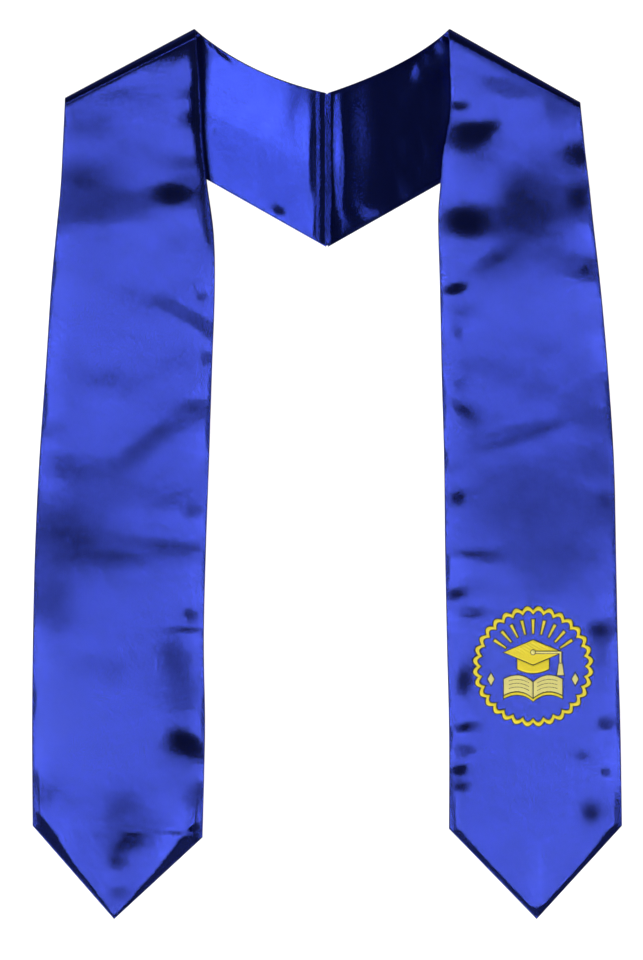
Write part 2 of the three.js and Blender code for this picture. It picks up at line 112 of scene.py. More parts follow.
# Slopes in the satin: x and y of the middle in the photograph's pixels, half length and
# half width in pixels, turn in degrees clockwise from the x axis, and steepness in degrees.
# A positive steepness falls towards the top of the picture, a negative one towards its foot.
PANEL_SLOPES = {
    "left": (
        (178, 232, 26, 14, 0, -2), (184, 314, 20, 4, 30, 6), (178, 466, 26, 15, 0, -2),
        (168, 527, 32, 6, 0, -2), (152, 546, 36, 5, 0, 9), (181, 630, 17, 2.2, 0, 11),
        (145, 809, 15, 2.5, 20, 8), (150, 831, 52, 1.6, 4, 15), (201, 130, 75, 7, 86, -6),
    ),
    "right": (
        (482, 56, 34, 5, 28, -2), (465, 85, 14, 12, 0, -2), (469, 259, 14, 12, 0, -2),
        (575, 230, 11, 12, 0, -2), (492, 441, 42, 4, -15, 8), (470, 460, 22, 9, -12, -2),
        (595, 485, 15, 7, 0, -2), (478, 554, 20, 4, 0, 9), (476, 580, 25, 13, 0, -2),
        (470, 612, 19, 4, 0, 8), (465, 727, 14, 4, -8, 8), (460, 770, 10, 3, -10, 9),
    ),
}

# Places where the threads are pulled askew, in the same columns, with degrees of skew last
PULLS = {
    "left": (
        (131, 70, 92, 4, -27.7, -62), (182, 50, 32, 12, -25, -52), (197, 85, 60, 6, 88, -66),
        (202, 152, 40, 5, 84, -62), (207, 218, 44, 8, 82, -46), (186, 94, 12, 8, 0, -26),
        (190, 119, 11, 11, 0, -32), (186, 163, 14, 9, 0, -24), (178, 193, 21, 11, 0, -66),
        (88, 122, 34, 18, 0, -15), (74, 174, 28, 15, 0, -11), (70, 205, 60, 30, 0, -16),
        (115, 190, 62, 46, 0, -11), (140, 207, 60, 18, -5, -14), (186, 315, 26, 7, 30, -27),
        (201, 297, 7, 6, 0, -25), (208, 330, 6, 7, 0, -25), (206, 358, 6, 7, 0, -25),
        (195, 408, 14, 7, 0, -38), (150, 440, 46, 13, -35, -17), (68, 466, 30, 16, 0, -18),
        (172, 426, 26, 12, 0, -9), (52, 430, 34, 22, 0, -12), (192, 511, 7, 6, 0, -24),
        (60, 530, 62, 42, 0, -24), (140, 475, 80, 38, -12, -14), (130, 555, 60, 20, 0, -18),
        (50, 600, 32, 34, 0, -18), (190, 615, 8, 6, 40, -32), (172, 655, 17, 26, 0, -19),
        (182, 695, 16, 34, 0, -18), (190, 746, 18, 10, 35, -66), (172, 750, 24, 22, 0, -20),
        (52, 790, 34, 22, 0, -10), (125, 812, 34, 32, 0, -24), (130, 841, 22, 11, -8, -32),
        (117, 862, 15, 12, 20, -27), (119, 893, 12, 9, 0, -28), (112, 650, 110, 90, 0, -10),
        (120, 140, 80, 44, 0, -10),
    ),
    "right": (
        (513, 71, 150, 5, 29.2, -62), (503, 88, 18, 10, 20, -28), (459, 106, 13, 6, 0, -44),
        (470, 133, 20, 12, 0, -60), (490, 127, 17, 8, -20, -36), (472, 150, 26, 14, 0, -12),
        (555, 111, 12, 16, 0, -24), (580, 155, 16, 13, 0, -50), (562, 152, 36, 22, 0, -14),
        (586, 197, 15, 15, 0, -56), (542, 196, 54, 42, 0, -25), (558, 226, 50, 30, 0, -14),
        (517, 192, 18, 16, 0, -13), (464, 222, 22, 14, 0, -66), (500, 225, 44, 26, 0, -17),
        (455, 289, 12, 6, -10, -58), (490, 264, 32, 12, -30, -24), (540, 262, 60, 18, 0, -12),
        (588, 270, 14, 9, 0, -66), (462, 311, 22, 10, 0, -21), (457, 333, 8, 12, -30, -21),
        (459, 384, 12, 12, 0, -21), (462, 409, 16, 8, 30, -24), (520, 434, 44, 7, -15, -28),
        (470, 425, 24, 20, 0, -11), (595, 425, 24, 28, 0, -13), (458, 498, 10, 9, 30, -22),
        (530, 500, 110, 76, 0, -26), (560, 560, 50, 24, 0, -12), (548, 592, 50, 18, 0, -13),
        (605, 503, 11, 8, 0, -32), (457, 594, 11, 6, -15, -46), (472, 613, 18, 7, 0, -34),
        (464, 684, 10, 18, 0, -36), (475, 665, 16, 18, 0, -18), (602, 630, 15, 10, 0, -36),
        (600, 655, 14, 36, 0, -18), (466, 727, 15, 6, -8, -50), (466, 750, 12, 7, 0, -34),
        (460, 770, 11, 6, -10, -52), (460, 786, 10, 6, 0, -32), (472, 800, 26, 28, -20, -13),
        (605, 724, 9, 8, 0, -40), (581, 756, 11, 10, 0, -26), (605, 772, 7, 6, 0, -30),
        (591, 811, 13, 12, 0, -33), (590, 825, 18, 18, 0, -10), (535, 365, 90, 72, 0, -11),
    ),
}
DEEPEST_PULL = math.radians(66)

NECK_SLOPES = {
    "left": (),
    "right": (
        (336, 150, 120, 6, 90, -18), (350, 226, 10, 10, 90, -13), (386, 142, 26, 5, 85, -10),
        (425, 150, 22, 5, 80, -9), (400, 95, 30, 9, 80, -10.5), (445, 105, 34, 8, 98, -10.5),
        (414, 66, 13, 7, 90, -23), (437, 48, 12, 8, 90, -23), (404, 194, 20, 12, 85, -11),
    ),
}
NECK_PULLS = {
    "left": (
        (315, 140, 66, 6, 90, 13), (319, 214, 28, 4, 100, 34), (209, 44, 8, 2, 60, 32),
        (217, 50, 9, 2, 55, 32), (226, 57, 8, 2.5, 50, 26), (279, 211, 9, 6, 30, 20),
        (262, 195, 30, 10, 30, 10), (225, 90, 20, 34, 0, 9), (290, 120, 12, 50, 10, 7),
    ),
    "right": (),
}

# Slow waves of the lying cloth: wavelength in millimetres, turn from the length in degrees,
# slope in degrees, and start in radians
WAVES = ((83, 8, 0.9, 0.4), (57, -17, 0.8, 2.1), (38, 24, 0.8, 4.4), (131, -6, 0.7, 5.2), (24, -35, 0.7, 1.3))


class Curve:
    """A plan curve of points, read by its share of length or by its distance from a line."""

    samples = 1200

    def __init__(self, points):
        self.points = np.asarray(points, float)
        steps = np.hypot(*np.diff(self.points, axis=0).T)
        self.run = np.concatenate([[0], np.cumsum(steps)])
        self.length = self.run[-1]

    def at(self, share):
        run = np.asarray(share) * self.length
        return np.stack([np.interp(run, self.run, self.points[:, i]) for i in (0, 1)], -1)

    def share_off_line(self, start, along, gap):
        shares = np.linspace(0, 0.5, self.samples)
        away = self.at(shares) - start
        gaps = np.abs(along[0] * away[:, 1] - along[1] * away[:, 0])
        return np.interp(gap, gaps, shares)


def quadratic(start, pull, end, share):
    """Points of a quadratic curve at shares of its way."""
    t = share[:, None]
    return (1 - t) ** 2 * start + 2 * t * (1 - t) * pull + t**2 * end


def spline(points, per_span=60):
    """A uniform Catmull-Rom spline through points, as a polyline."""
    p = np.asarray(points, float)
    p = np.concatenate([p[:1], p, p[-1:]])
    t = np.linspace(0, 1, per_span, endpoint=False)[:, None]
    spans = []
    for a, b, c, d in zip(p, p[1:], p[2:], p[3:]):
        v0, v1 = (c - a) / 2, (d - b) / 2
        spans.append((2 * b - 2 * c + v0 + v1) * t**3 + (3 * c - 3 * b - 2 * v0 - v1) * t**2 + v0 * t + b)
    return Curve(np.concatenate(spans + [p[-1:]]))


def smooth(x, low, high):
    t = np.clip((x - low) / (high - low), 0, 1)
    return t * t * (3 - 2 * t)


def lerp(a, b, t):
    return a + (b - a) * t


class Strip:
    """One half of the stole.

    Rows run from -2 at the seam through -1 to 1 over the roll to 2 at the point.
    """

    bow_steps = 200

    def __init__(self, name):
        half = HALVES[name]
        self.name, self.side = name, half["side"]
        self.tip_shift, self.end_tilt = half["tip_shift"] * MM, half["end_tilt"] * MM
        self.neck = np.array([half["neck_out"] * MM, NECK_RISE - MIDDLE_Y])
        self.corner = np.array([half["shoulder_out"] * MM, self.neck[1] - half["shoulder_drop"] * MM])
        start = WEB / 2 + CLEARANCE
        top, foot = np.array([start, -MIDDLE_Y]), np.array([start, -MIDDLE_Y - SEAM_LENGTH])
        chord = top - self.neck
        sag = np.array([-chord[1], chord[0]]) / np.hypot(*chord) * 2 * half["neck_sag"] * MM
        middle = self.neck + chord * half["sag_at"] + sag
        bow = quadratic(self.neck, middle, top, np.linspace(0, 1, self.bow_steps))
        self.panel = BODY_LENGTH - half["shoulder_drop"] * MM
        down, outer, width = (np.array(c) for c in zip(*half["edges"]))
        y = self.corner[1] - down * self.panel
        tilt = np.zeros_like(y)
        tilt[-1] = self.end_tilt
        inner_points = np.stack([outer * REACH - width * END_WIDTH, y - tilt], -1)
        outer_points = np.stack([outer * REACH, y], -1)
        outer_points[0] = self.corner
        self.edges = {
            "inner": (Curve(bow), spline([self.neck, *inner_points]), ROLL_DEPTH[0]),
            "outer": (Curve([self.corner, foot]), spline(outer_points), ROLL_DEPTH[1]),
        }
        self.fold = (self.corner - self.neck) / np.hypot(*(self.corner - self.neck))
        self.back = (foot - self.corner) / np.hypot(*(foot - self.corner))
        self.band = self.edges["outer"][0].length

    def edge(self, name, rows):
        back, front, depth = self.edges[name]
        points = np.empty((len(rows), 2))
        for curve, chosen in ((back, rows < 0), (front, rows >= 0)):
            gap = np.abs(rows[chosen])
            turned = depth * (1 - np.cos(np.minimum(gap, 1) * math.pi / 2))
            share = curve.share_off_line(self.neck, self.fold, turned)
            start = curve.share_off_line(self.neck, self.fold, depth)
            points[chosen] = curve.at(np.where(gap <= 1, share, lerp(start, 1, gap - 1)))
        return points

    def grid(self, rows, insets, spans):
        """The strip's middle surface: columns lie at insets from both edges, with even spans between."""
        inner, outer = self.edge("inner", rows), self.edge("outer", rows)
        width = np.hypot(*(outer - inner).T)[:, None]
        even = np.linspace(insets[-1], width[:, 0] - insets[-1], spans + 1).T
        edge = np.broadcast_to(np.array(insets[:-1]), (len(rows), len(insets) - 1))
        from_inner = np.concatenate([edge, even, width - edge[:, ::-1]], 1)
        across = from_inner / width
        plan = inner[:, None] + (outer - inner)[:, None] * across[..., None]
        left = (2 - rows)[:, None] * self.panel
        bend = np.where(rows[:, None] > 1, 1 - smooth(left, 0, BEND_LENGTH), 0)
        share = bend * (1 - np.abs(2 * across - 1))
        plan[..., 0] += share * self.tip_shift
        plan[..., 1] -= share * (POINT_LENGTH - self.end_tilt / 2)
        height = lerp(*ROLL_HEIGHT, across)
        turn = np.sin(np.minimum(np.abs(rows), 1) * math.pi / 2)[:, None]
        floor = STACK / 2
        from_corner = plan - self.corner
        past = self.back[1] * from_corner[..., 0] - self.back[0] * from_corner[..., 1]
        off = plan - self.neck
        from_fold = np.abs(self.fold[0] * off[..., 1] - self.fold[1] * off[..., 0])
        rest = LAY_LIFT * smooth(past, -LAY_SLOPE - LAY_MARGIN, -LAY_MARGIN)
        lift = rest + (height - rest) * (1 - smooth(from_fold, ROLL_DEPTH[0], ROLL_FADE))
        middle = floor + height / 2
        front = middle + (floor + lift - middle) * turn
        z = np.where(rows[:, None] > 0, front, floor + height / 2 * (1 - turn))
        spot = np.stack([self.side * plan[..., 0], plan[..., 1], z], -1)
        return {
            "spot": spot, "rows": rows[:, None] + 0 * across, "across": across, "width": width + 0 * across,
            "from_side": np.minimum(from_inner, width - from_inner), "from_inner": from_inner,
            "from_end": (left + 0 * across) / POINT_SLANT,
        }


def normals(spot, side):
    """Unit normals of a grid of points, out of the face cloth."""
    along, out = np.gradient(spot, axis=0), np.gradient(spot, axis=1)
    normal = np.cross(along, out) * side
    return normal / np.linalg.norm(normal, axis=-1, keepdims=True)


def ovals_at(table, spot):
    """For each row of a table: where plan places lie along and across its oval, and its last value."""
    px = spot[..., 0] / PX + SEAM_PX
    py = MIDDLE_PX - spot[..., 1] / PX
    for x, y, length, width, turn, amount in table:
        angle = math.radians(turn)
        a = (px - x) * math.cos(angle) + (py - y) * math.sin(angle)
        b = (py - y) * math.cos(angle) - (px - x) * math.sin(angle)
        yield a / length, b / width, width * PX, math.radians(amount)


SLOPE_RECOVERY = 3.5  # half widths past which the cloth is level again
SLOPE_SPREAD = 1.45


def slopes_at(table, spot):
    """The height that a table's slopes add at plan places."""
    height = np.zeros(spot.shape[:2])
    for a, b, width, steep in ovals_at(table, spot):
        a, b, width = a / SLOPE_SPREAD, b / SLOPE_SPREAD, width * SLOPE_SPREAD
        step = math.tan(steep) * width * np.tanh(b)
        height += step * np.exp(-((b / SLOPE_RECOVERY) ** 2) - a**2)
    return height


def skew_at(table, spot):
    """The angle by which a table's pulls turn the threads at plan places."""
    skew = np.zeros(spot.shape[:2])
    for a, b, _, pull in ovals_at(table, spot):
        skew += pull * np.exp(-(a**2) - b**2)
    return np.maximum(skew, -DEEPEST_PULL)


def waves_at(spot, side):
    """The height of the slow waves at plan places."""
    height = np.zeros(spot.shape[:2])
    for wavelength, turn, steep, start in WAVES:
        angle, number = math.radians(turn), 2 * math.pi / (wavelength * MM)
        run = spot[..., 1] * math.cos(angle) + spot[..., 0] * math.sin(angle)
        height += math.tan(math.radians(steep)) / number * np.sin(run * number + start + side)
    return height


class Value:
    """A number in a shader: arithmetic on it adds Math nodes."""

    def __init__(self, nodes, socket):
        self.nodes, self.socket = nodes, socket

    def __add__(self, other):
        return self.nodes.math("ADD", self, other)

    def __sub__(self, other):
        return self.nodes.math("SUBTRACT", self, other)

    def __rsub__(self, other):
        return self.nodes.math("SUBTRACT", other, self)

    def __mul__(self, other):
        return self.nodes.math("MULTIPLY", self, other)

    __radd__ = __add__
    __rmul__ = __mul__


class Nodes:
    """A node tree under construction."""

    def __init__(self, tree):
        self.tree = tree

    def feed(self, node, values):
        for key, value in values.items():
            socket = node.inputs[key]
            if isinstance(value, Value):
                value = value.socket
            if isinstance(value, bpy.types.NodeSocket):
                self.tree.links.new(value, socket)
            else:
                socket.default_value = value

    def node(self, kind, settings=None, *places, **named):
        node = self.tree.nodes.new(kind)
        for key, value in (settings or {}).items():
            setattr(node, key, value)
        self.feed(node, dict(enumerate(places)))
        self.feed(node, named)
        return node

    def math(self, operation, *inputs):
        return Value(self, self.node("ShaderNodeMath", {"operation": operation}, *inputs).outputs[0])

    def vector(self, operation, *inputs, **named):
        return self.node("ShaderNodeVectorMath", {"operation": operation}, *inputs, **named).outputs[0]


class Look(Nodes):
    """A material under construction."""

    def __init__(self, name, **shader):
        self.material = bpy.data.materials.new(name)
        self.material.use_nodes = True
        super().__init__(self.material.node_tree)
        self.tree.nodes.clear()
        out = self.node("ShaderNodeOutputMaterial")
        self.shader = self.node("ShaderNodeBsdfPrincipled", None, **shader)
        self.tree.links.new(self.shader.outputs[0], out.inputs[0])

    def noise(self, place, scale, detail, roughness=0.5, along=1.0):
        """Noise at a place, drawn out along the cloth's threads where along is under 1."""
        if along != 1:
            place = self.vector("MULTIPLY", place, (1, along, 1))
        values = {"Vector": place, "Scale": scale, "Detail": detail, "Roughness": roughness}
        return Value(self, self.node("ShaderNodeTexNoise", None, **values).outputs[0])

    def bump(self, height, strength, distance, **named):
        values = {"Strength": strength, "Distance": distance, "Height": height, **named}
        return self.node("ShaderNodeBump", None, **values).outputs[0]

    def mix(self, share, first, second):
        node = self.node("ShaderNodeMix", {"data_type": "RGBA"}, Factor=share)
        self.feed(node, {6: first, 7: second})
        return node.outputs[2]

    def shades(self, share, colour, darkest):
        """From a colour to a share of it."""
        return self.mix(share, (*colour, 1), (*(part * darkest for part in colour), 1))


THREAD_DIRECTION = "weft"
WEAVE_PITCH = 0.45 * MM
WAVER = 9  # radians by which the noise moves a thread to its side
SLUBS = {"scale": 900, "detail": 2, "along": 0.12}
CRUMPLES = {"scale": 260, "detail": 3, "roughness": 0.6}
CRUMPLE_BUMP = (0.15, 0.4 * MM)  # strength and height
CLOUDS = {"scale": 45, "detail": 4}
GRAIN = {"scale": 620, "detail": 2, "along": 0.45}
CLOUD_SHARE = 0.5
GRAIN_SHARE = 0.9
SATIN_DARKEST = 0.45
# Roughness of each satin, and the degrees by which its threads lean
FACE_WEAVE = (0.24, 25)
LINING_WEAVE = (0.21, 38)
SEAM_WEAVE = (0.25, 38)


def satin(name, colour, weave):
    """Satin: long shining floats along the cloth, which spread each reflection across it."""
    roughness, lean = weave
    look = Look(name, Roughness=roughness, Metallic=1)
    cloth = look.node("ShaderNodeUVMap", {"uv_map": "cloth"}).outputs[0]
    across = Value(look, look.node("ShaderNodeSeparateXYZ", None, cloth).outputs[0])
    phase = across * (2 * math.pi / WEAVE_PITCH) + look.noise(cloth, **SLUBS) * WAVER
    tilt = look.math("SINE", phase) * math.tan(math.radians(lean))
    weft = look.node("ShaderNodeAttribute", {"attribute_name": THREAD_DIRECTION}).outputs["Vector"]
    leaning = look.vector("SCALE", weft, Scale=tilt)
    normal = look.node("ShaderNodeNewGeometry").outputs["Normal"]
    spread = look.vector("NORMALIZE", look.vector("ADD", normal, leaning))
    crumpled = look.bump(look.noise(cloth, **CRUMPLES), *CRUMPLE_BUMP, Normal=spread)
    worn = look.noise(cloth, **CLOUDS) * CLOUD_SHARE + (look.noise(cloth, **GRAIN) - 0.5) * GRAIN_SHARE
    look.feed(look.shader, {"Base Color": look.shades(worn, colour, SATIN_DARKEST), "Normal": crumpled})
    return look.material


# Attribute that marks the near-black threads. In the page lines the darkness is pattern; in the thread round
# each motif it is partly a real outline and partly painted shade at the motif's edge.
DARK_THREAD_AND_EDGE_SHADE = "edging"
FIBRES = {"scale": 1100, "detail": 2}
FIBRE_SHARE = 0.55
FIBRE_DARKEST = 0.55
STRANDS = {"scale": 4200, "detail": 1}
STRAND_BUMP = (0.3, 0.1 * MM)  # strength and height


def thread_look(name, colour, edging):
    """Glossy embroidery thread, near black in the page lines and round each motif; round the motifs this dark
    thread is partly a real outline and partly painted shade.
    """
    look = Look(name, Roughness=0.4)
    place = look.node("ShaderNodeTexCoord").outputs["Object"]
    shade = look.shades(look.noise(place, **FIBRES) * FIBRE_SHARE, colour, FIBRE_DARKEST)
    dark = look.node("ShaderNodeAttribute", {"attribute_name": DARK_THREAD_AND_EDGE_SHADE}).outputs["Fac"]
    fuzz = look.bump(look.noise(place, **STRANDS), *STRAND_BUMP)
    look.feed(look.shader, {"Base Color": look.mix(dark, shade, (*edging, 1)), "Normal": fuzz})
    return look.material


def grid_mesh(name, spot, uv, weft):
    """A grid of points as a mesh with its cloth map and the direction across its threads."""
    rows, columns = spot.shape[:2]
    index = np.arange(rows * columns).reshape(rows, columns)
    quads = np.stack([index[:-1, :-1], index[:-1, 1:], index[1:, 1:], index[1:, :-1]], -1).reshape(-1, 4)
    mesh = bpy.data.meshes.new(name)
    mesh.vertices.add(rows * columns)
    mesh.vertices.foreach_set("co", spot.reshape(-1))
    mesh.loops.add(quads.size)
    mesh.loops.foreach_set("vertex_index", quads.reshape(-1).astype(np.int32))
    mesh.polygons.add(len(quads))
    mesh.polygons.foreach_set("loop_start", np.arange(0, quads.size, 4, dtype=np.int32))
    mesh.update(calc_edges=True)
    layer = mesh.uv_layers.new(name="cloth")
    layer.data.foreach_set("uv", uv.reshape(-1, 2)[quads.reshape(-1)].reshape(-1).astype(np.float32))
    across = mesh.attributes.new(THREAD_DIRECTION, "FLOAT_VECTOR", "POINT")
    across.data.foreach_set("vector", weft.reshape(-1).astype(np.float32))
    return mesh


def linked(name, mesh):
    """A new object with a mesh, in the scene."""
    piece = bpy.data.objects.new(name, mesh)
    bpy.context.collection.objects.link(piece)
    return piece


def select_only(obj):
    bpy.ops.object.select_all(action="DESELECT")
    obj.select_set(True)
    bpy.context.view_layer.objects.active = obj


CLOTH_CREASE = math.radians(60)


def cloth_piece(name, spot, uv, skew, side, material, thickness, flip=False):
    """A sheet with a wall, smooth shaded, made from its outside surface."""
    normal = normals(spot, side) * (-1 if flip else 1)
    along = np.gradient(spot, axis=0)
    weft = np.cross(normal, along)
    weft /= np.linalg.norm(weft, axis=-1, keepdims=True)
    turn = np.broadcast_to(skew, spot.shape[:2])[..., None]
    weft = weft * np.cos(turn) + np.cross(normal, weft) * np.sin(turn)
    mesh = grid_mesh(name, spot, uv, weft)
    piece = linked(name, mesh)
    mesh.materials.append(material)
    select_only(piece)
    if (side > 0) != flip:
        mesh.flip_normals()
    wall = piece.modifiers.new("Wall", "SOLIDIFY")
    wall.thickness, wall.offset = thickness, -1
    bpy.ops.object.modifier_apply(modifier=wall.name)
    bpy.ops.object.shade_smooth_by_angle(angle=CLOTH_CREASE)
    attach(piece, BODY)
    return piece


EDGE_TURN = STACK / 2
EDGE_COLUMNS = 5
EDGE_STEPS = [
    EDGE_TURN * (1 - math.cos(math.pi / 2 * step / EDGE_COLUMNS)) for step in range(EDGE_COLUMNS + 1)
]
GRID_COLUMNS = 78
# Rows on the neck band, over the roll and down the panel
FACE_ROWS = (30, 30, 410)
LINING_ROWS = (170, 24, 80)
# Distances over which the dents get level again
SIDE_FADE = 4 * MM
END_FADE = 8 * MM
SHOULDER_FADE = 15 * MM
# Distances over which the lining's puff and dents grow
NECK_FADES = {"side": 60 * MM, "fold": 20 * MM, "seam": (6 * MM, 26 * MM), "relief": 10 * MM}
LEAST_PUFF = 0.1 * MM  # keeps a division from zero
BADGE_HALF = "right"
BADGE_RADIUS = 51.5 * MM
BADGE_FADE = 30 * MM
BADGE_PUFF = 2.3 * MM  # the embroidery holds the cloth flat
# Width of the dark band along the point's seams, in millimetres, by share of the way from tip to corner
END_BANDS = {
    "left": ((0, 2), (0.15, 3), (0.5, 6), (0.8, 12.4), (0.93, 12), (1, 8)),
    "right": ((0, 6), (0.08, 3.5), (0.5, 4), (0.85, 6.5), (1, 4)),
}
END_STEEP = math.radians(20)
END_SIDE = 7 * MM  # from the side edges, over which the dark band rises
END_REACH = 4 * END_SIDE  # width of the rise past the band at the side edges


def turned_edge(distance):
    """Share of the wall's half that stands at a distance from an edge."""
    return np.sqrt(1 - (1 - np.minimum(distance, EDGE_TURN) / EDGE_TURN) ** 2)


def cloth_grid(strip, counts):
    """The strip's grid, with so many rows on the neck band, over the roll and down the panel."""
    ends = np.array(EDGE_STEPS[::-1]) * POINT_SLANT / strip.panel
    spans = ((-2, -1), (-1, 1), (1, 2 - ends[0]))
    rows = [np.linspace(*span, count, endpoint=False) for span, count in zip(spans, counts)]
    return strip.grid(np.concatenate([*rows, 2 - ends]), EDGE_STEPS, GRID_COLUMNS)


def face_surface(strip, settings):
    """The outside of the face cloth, its cloth map and the skew of its threads."""
    grid = cloth_grid(strip, FACE_ROWS)
    spot, from_side, from_end = grid["spot"], grid["from_side"], grid["from_end"]
    front = grid["rows"] > 1
    from_shoulder = (grid["rows"] - 1) * strip.panel
    loose = 1.0
    if strip.name == BADGE_HALF:
        x, y = badge_middle()
        gap = np.hypot(spot[..., 0] - x, spot[..., 1] - y)
        loose = smooth(gap, BADGE_RADIUS, BADGE_RADIUS + BADGE_FADE)
    cover = 1 - (1 - 2 * from_side / grid["width"]) ** 4
    cover *= smooth(from_shoulder, 0, ROLL_FADE)
    full = lerp(BADGE_PUFF, settings.panel_puff, loose) * cover
    band = np.interp(np.abs(2 * grid["across"] - 1), *np.array(END_BANDS[strip.name]).T) * MM
    banked = math.tan(END_STEEP) * np.minimum(from_end, band) * smooth(from_side, 0, END_SIDE)
    fall = lerp(END_REACH, settings.end_fall, smooth(from_side, 0, END_REACH))
    puff = np.where(front, lerp(banked, full, smooth(from_end, band, band + fall)), 0)
    relief = slopes_at(PANEL_SLOPES[strip.name], spot) + waves_at(spot, strip.side)
    relief *= smooth(from_side, 0, SIDE_FADE) * smooth(from_end, 0, END_FADE)
    relief *= smooth(from_shoulder, 0, SHOULDER_FADE)
    relief = np.where(front, relief * loose, 0)
    relief = np.where(relief < 0, -puff * np.tanh(-relief / np.maximum(puff, LEAST_PUFF)), relief)
    stand = STACK / 2 * turned_edge(np.minimum(from_side, from_end)) + puff + relief
    uv = np.stack([grid["from_inner"], -spot[..., 1]], -1)
    skew = skew_at(PULLS[strip.name], spot) * (grid["rows"] > ROLL_CREST)
    return spot + normals(spot, strip.side) * stand[..., None], uv, skew


def lining_surface(strip, settings):
    """The outside of the lining, its cloth map and the skew of its threads."""
    grid = cloth_grid(strip, LINING_ROWS)
    spot, from_side = grid["spot"], grid["from_side"]
    share = np.clip(-1 - grid["rows"], 0, 1)
    from_fold, from_seam = share * strip.band, (1 - share) * strip.band
    cover = smooth(from_side, 0, NECK_FADES["side"]) * smooth(from_fold, 0, NECK_FADES["fold"])
    cover *= smooth(from_seam, *NECK_FADES["seam"])
    relief = slopes_at(NECK_SLOPES[strip.name], spot) * smooth(from_side, 0, SIDE_FADE)
    relief = np.where(grid["rows"] < -1, relief, 0) * smooth(from_fold, 0, NECK_FADES["relief"])
    relief = np.where(relief < 0, -NECK_DIP * np.tanh(-relief / NECK_DIP), relief)
    edge = turned_edge(np.minimum(from_side, grid["from_end"]))
    stand = STACK / 2 * edge + settings.neck_puff * cover + relief
    uv = np.stack([grid["from_inner"], grid["rows"] * strip.band], -1)
    skew = skew_at(NECK_PULLS[strip.name], spot) * (grid["rows"] < -1)
    return spot - normals(spot, strip.side) * stand[..., None], uv, skew


# Across the seam in millimetres: place, height, and degrees by which the threads turn
SEAM_PROFILE = (
    (-9.3, 2.7, -19), (-8.4, 2.9, -19), (-7.0, 3.05, -22), (-5.9, 3.1, -34), (-5.2, 3.1, -62),
    (-1.5, 3.1, -62), (-1.2, 3.3, -8), (-0.8, 3.3, -8), (-0.4, 3.05, -62), (1.2, 2.8, -62), (3.4, 2.45, -62),
)
SEAM_SLANTS = (0.3, 0.48)  # how the neck's upper and lower edges rise away from the seam
SEAM_TRIM = 1 * MM
SEAM_GRID = (90, 56)
SEAM_WANDER = ((0.2, 55, 0), (0.1, 131, 1))  # millimetres, radians for each metre of length, and start
SEAM_FADE = 0.33  # share of the length over which the threads to the right of the seam turn


def seam_surface():
    """The pressed seam at the back of the neck, from its top to its foot, cut along the neck's edges."""
    profile = np.array(SEAM_PROFILE).T
    rows, columns = SEAM_GRID
    place = np.linspace(profile[0][0], profile[0][-1], columns)
    height, turn = (np.interp(place, profile[0], column) for column in profile[1:])
    share = np.linspace(0, 1, rows)[:, None]
    edges = (-MIDDLE_Y - SEAM_TRIM, -MIDDLE_Y - SEAM_LENGTH + SEAM_TRIM)
    top, foot = (edge + rise * np.abs(place) * MM for edge, rise in zip(edges, SEAM_SLANTS))
    y = lerp(top, foot, share)
    x = place * MM + sum(size * MM * np.sin(y * rate + start) for size, rate, start in SEAM_WANDER)
    z = np.broadcast_to(height * MM, x.shape)
    turn = np.radians(turn) * np.where(place > 0, np.exp(-(((share - 0.5) / SEAM_FADE) ** 2)), 1)
    return np.stack([x, y, z], -1), np.stack([x, y], -1), turn


def badge_middle():
    """Plan place of the middle of the embroidery."""
    low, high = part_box("badge_border")
    return (low.x + high.x) / 2, (low.y + high.y) / 2


FLOOR_RADIUS = 14
FLOOR_CORNERS = 96
FLOOR_DROP = 0.2 * MM
FLOOR_GREY = (0.2, 0.2, 0.2, 1)
WHITE = (1, 1, 1, 1)
SENSOR = 36
WALL_LIGHT = (0.25, 0.02)  # low down on the walls and from there up
WALL_FADE = (0.12, 0.38)  # sines of the angles over which the walls get dark
SOFTBOX_DISTANCE = 10
# Direction from the stole, width and height in metres, and power in watts
SOFTBOXES = (
    ("left softbox", (-0.5, -0.065, 0.86), (4.2, 1.3), 370),
    ("right softbox", (0.5, -0.065, 0.86), (4.2, 1.3), 370),
    ("neck softbox", (-0.393, -0.772, 0.5), (3.6, 3.6), 640),
)

# Embroidery, in millimetres: a cap over an open book in a scalloped ring
BADGE_DIAMETER = 103
BORDER_WIDTH = 3.4
SCALLOPS = 32
SCALLOP_DEPTH = 3.6
SCALLOP_STEPS = 8
BOARD = (50, 21)  # width and height
BOARD_RISE = 12
CROWN = (27, 8.5)
CROWN_SAG = 3.5
MOTIF_GAP = 1
BUTTON_RADIUS = 1.9
BUTTON_CORNERS = 20
CORD_WIDTH = 1.5
CORD_DROP = 9
TASSEL = (5.5, 10)
BOOK = (50, 13.5)
BOOK_DROP = 27
PAGE_RISE = 5
PAGE_PULL = 0.45  # share of a page's width at which its curve is pulled up
COVER_THICKNESS = 2
PAGE_LINES = (0.26, 0.5, 0.74)  # shares of the page's height
LINE_STITCHES = 20
LINE_ENDS = 3  # stitches left out at the ends of a line
LINE_GAP = 0.06  # share of a stitch
RAYS = 9
RAY_REACH = (0.545, 0.78)  # shares of the badge's radius
RAY_WIDTH = 2.4
RAY_SPREAD = 112
LOZENGE = (5.5, 10)
LOZENGE_OUT = 0.7
LOZENGE_DROP = 11

# Heights of the threads over the level cloth, in millimetres
STITCH_ENDS = 0.1
STITCH_TOPS = 0.8
LEVEL_STEP = 1.15
PAD_TOP = 0.5
PAD_INSET = 0.35
PAD_SINK = 0.2


def arc(start, pull, end, steps=14):
    """Points of a quadratic curve from end to end."""
    start, pull, end = (np.array(point, float) for point in (start, pull, end))
    return list(quadratic(start, pull, end, np.linspace(0, 1, steps + 1)))


